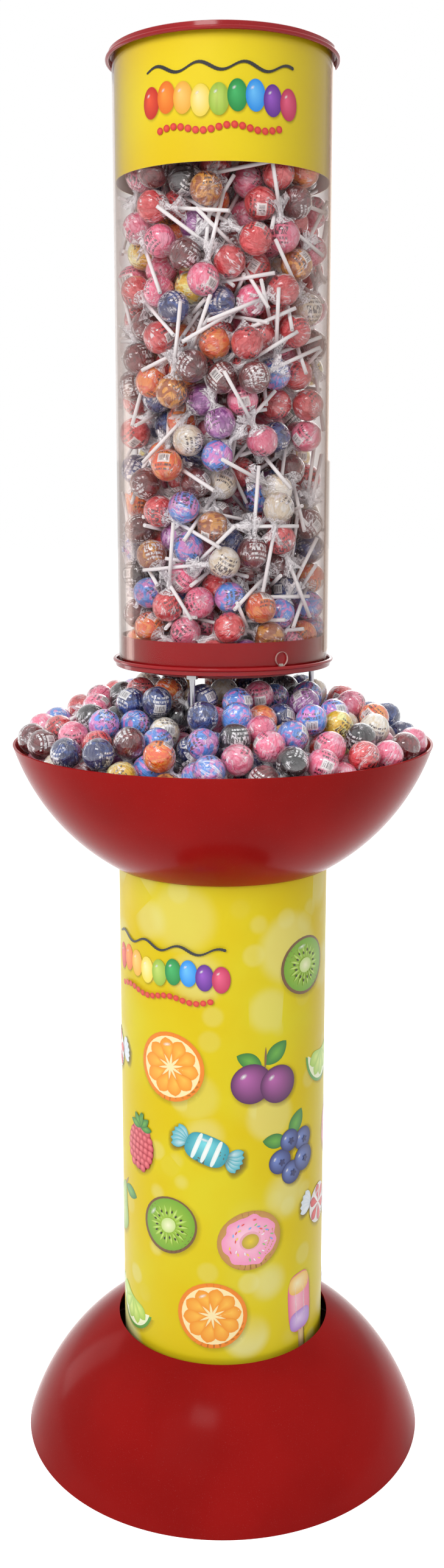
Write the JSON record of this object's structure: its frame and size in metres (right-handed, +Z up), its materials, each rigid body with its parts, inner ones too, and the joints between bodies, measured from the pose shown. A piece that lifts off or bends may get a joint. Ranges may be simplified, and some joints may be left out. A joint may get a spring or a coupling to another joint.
{
  "type": "gravity feed display",
  "caption": "Free-standing gravity feed display: clear feed tube with lift-off lid over a wide serving bowl, on a printed column with a domed base.",
  "frame": {"origin": "on the floor under the middle of the round base", "axes": "+Z up along the column; the front of the display faces -Y"},
  "size_m": [0.4919, 0.492, 1.6278],
  "materials": {
    "red_shell": "gloss moulded red",
    "red_pan": "gloss red enamel",
    "board": "raw pressed board",
    "plug": "raw plywood",
    "rubber": "matt black",
    "card_tube": "brown wound card, coated",
    "wrap_print": "yellow print, satin film",
    "header_print": "yellow print, satin film",
    "zinc": "bright zinc",
    "chrome": "polished",
    "clear_tube": "clear sheet, gloss",
    "seam_strip": "clear tinted strip",
    "tab": "pale grey"
  },
  "bodies": {
    "root": {"base_dome": "red_shell", "bowl": "red_shell", "base_board": "board", "foot_pads": "rubber", "column_tube": "card_tube", "column_wrap": "wrap_print", "lower_plug": "plug", "upper_plug": "plug", "tie_rod": "zinc", "rod_washers": "zinc", "rod_nuts": "zinc", "bowl_plate": "zinc", "leg_1": "chrome", "leg_2": "chrome", "leg_3": "chrome", "leg_nuts": "zinc", "leg_cap_nuts": "zinc", "feed_tray": "red_pan", "tray_collar": "red_pan", "feed_tube": "clear_tube", "tube_seam_strip": "seam_strip", "tube_tab": "tab", "header_card": "header_print"},
    "lid": {"lid": "red_pan", "lid_collar": "red_pan"}
  },
  "joints": [
    {"name": "lid_lift", "type": "slide", "parent": "root", "child": "lid", "axis": [0, 0, 1], "range_m": [0, 0.06]}
  ]
}
